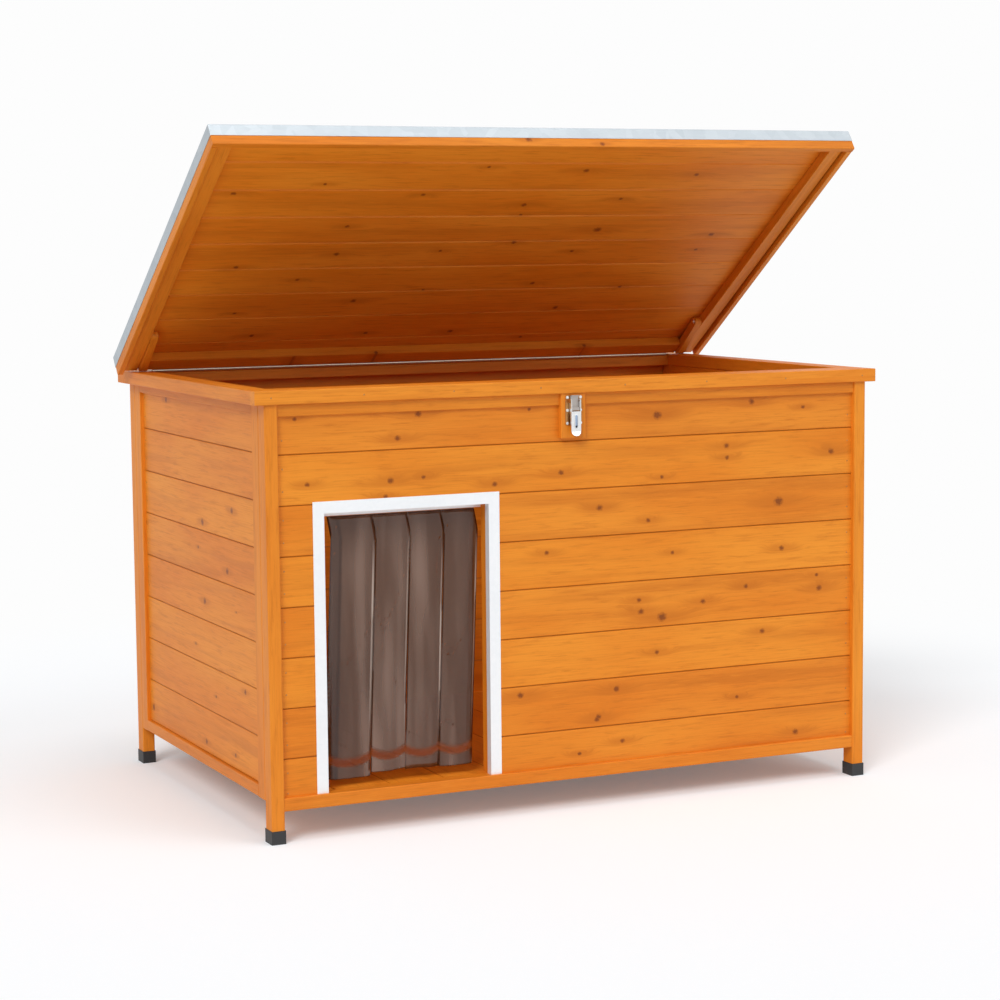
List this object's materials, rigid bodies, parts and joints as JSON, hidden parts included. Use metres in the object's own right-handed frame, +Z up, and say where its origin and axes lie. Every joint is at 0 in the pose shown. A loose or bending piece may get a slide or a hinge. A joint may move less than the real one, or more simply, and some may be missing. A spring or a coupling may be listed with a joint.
{
  "type": "dog house",
  "caption": "Timber dog house on short posts with a tongued-board body, a framed doorway with a clear strip curtain, and a sheet-covered lid on a piano hinge that stands open.",
  "frame": {"origin": "on the floor under the middle of the house, at the centre of the underside of the bounding box with the lid open as at rest", "axes": "+Z up, the front with the doorway faces -Y, +X to the right seen from the front"},
  "size_m": [1.182, 0.74, 1.1254],
  "materials": {
    "stained_softwood": "satin honey stain",
    "cap_plastic": "moulded black",
    "zinc_steel": "bright zinc",
    "galvanised_sheet": "galvanised, satin",
    "clear_strip": "translucent brown soft plastic",
    "plated_hardware": "zinc plated"
  },
  "bodies": {
    "house": {"post_front_left": "stained_softwood", "post_front_right": "stained_softwood", "post_rear_left": "stained_softwood", "post_rear_right": "stained_softwood", "front_bottom_rail": "stained_softwood", "rear_bottom_rail": "stained_softwood", "left_bottom_rail": "stained_softwood", "right_bottom_rail": "stained_softwood", "front_top_rail": "stained_softwood", "rear_top_rail": "stained_softwood", "side_top_rails": "stained_softwood", "left_stiles": "stained_softwood", "right_stiles": "stained_softwood", "front_boards_left": "stained_softwood", "front_boards_right": "stained_softwood", "front_boards_over_door": "stained_softwood", "left_boards": "stained_softwood", "right_boards": "stained_softwood", "rear_boards": "stained_softwood", "corner_battens": "stained_softwood", "rim_front": "stained_softwood", "rim_left": "stained_softwood", "rim_right": "stained_softwood", "rim_ledges": "stained_softwood", "hinge_board": "stained_softwood", "floor_boards": "stained_softwood", "floor_bearers": "stained_softwood", "door_jambs": "stained_softwood", "door_head": "stained_softwood", "latch_block": "stained_softwood", "foot_cap_front_left": "cap_plastic", "foot_cap_front_right": "cap_plastic", "foot_cap_rear_left": "cap_plastic", "foot_cap_rear_right": "cap_plastic", "door_trim_left": "zinc_steel", "door_trim_right": "zinc_steel", "door_trim_top": "zinc_steel", "curtain_clamp_bar": "zinc_steel", "hinge_leaf_fixed": "plated_hardware", "hinge_pin": "plated_hardware", "latch_plate": "zinc_steel", "latch_screws": "plated_hardware"},
    "lid": {"lid_boards": "stained_softwood", "lid_rail_front": "stained_softwood", "lid_rail_left": "stained_softwood", "lid_rail_right": "stained_softwood", "lid_rail_rear": "stained_softwood", "lid_battens": "stained_softwood", "lid_stay_blocks": "stained_softwood", "lid_cover": "galvanised_sheet", "hinge_leaf_lid": "plated_hardware", "stay_screws": "plated_hardware"},
    "stay_left": {"lid_stay_left": "stained_softwood"},
    "stay_right": {"lid_stay_right": "stained_softwood"},
    "lever": {"latch_lever": "zinc_steel"},
    "claw": {"latch_claw": "zinc_steel"},
    "strip_1": {"curtain_strip_1": "clear_strip"},
    "strip_2": {"curtain_strip_2": "clear_strip"},
    "strip_3": {"curtain_strip_3": "clear_strip"},
    "strip_4": {"curtain_strip_4": "clear_strip"}
  },
  "joints": [
    {"name": "lid_hinge", "type": "hinge", "parent": "house", "child": "lid", "pos_m": [0, 0.3, 0.7145], "axis": [1, 0, 0], "range_deg": [-45, 35]},
    {"name": "stay_left_fold", "type": "hinge", "parent": "lid", "child": "stay_left", "pos_m": [-0.545, 0.22101, 0.77952], "axis": [1, 0, 0], "range_deg": [-6.75, 5.25]},
    {"name": "stay_right_fold", "type": "hinge", "parent": "lid", "child": "stay_right", "pos_m": [0.545, 0.22101, 0.77952], "axis": [1, 0, 0], "range_deg": [-6.75, 5.25]},
    {"name": "strip_1_swing", "type": "hinge", "parent": "house", "child": "strip_1", "pos_m": [-0.3867, -0.312, 0.5082], "axis": [1, 0, 0], "range_deg": [-75, 75]},
    {"name": "strip_2_swing", "type": "hinge", "parent": "house", "child": "strip_2", "pos_m": [-0.3267, -0.312, 0.5082], "axis": [1, 0, 0], "range_deg": [-75, 75]},
    {"name": "strip_3_swing", "type": "hinge", "parent": "house", "child": "strip_3", "pos_m": [-0.2667, -0.312, 0.5082], "axis": [1, 0, 0], "range_deg": [-75, 75]},
    {"name": "strip_4_swing", "type": "hinge", "parent": "house", "child": "strip_4", "pos_m": [-0.2067, -0.312, 0.5082], "axis": [1, 0, 0], "range_deg": [-75, 75]},
    {"name": "latch_lever_turn", "type": "hinge", "parent": "house", "child": "lever", "pos_m": [-0.017, -0.3638, 0.68], "axis": [1, 0, 0], "range_deg": [-95, 0]},
    {"name": "latch_claw_turn", "type": "hinge", "parent": "lever", "child": "claw", "pos_m": [-0.017, -0.3638, 0.667], "axis": [1, 0, 0], "range_deg": [0, 95]}
  ],
  "couplings": [
    {"joint": "stay_left_fold", "follows": "lid_hinge", "ratio": 0.15},
    {"joint": "stay_right_fold", "follows": "lid_hinge", "ratio": 0.15},
    {"joint": "latch_claw_turn", "follows": "latch_lever_turn", "ratio": -1}
  ]
}
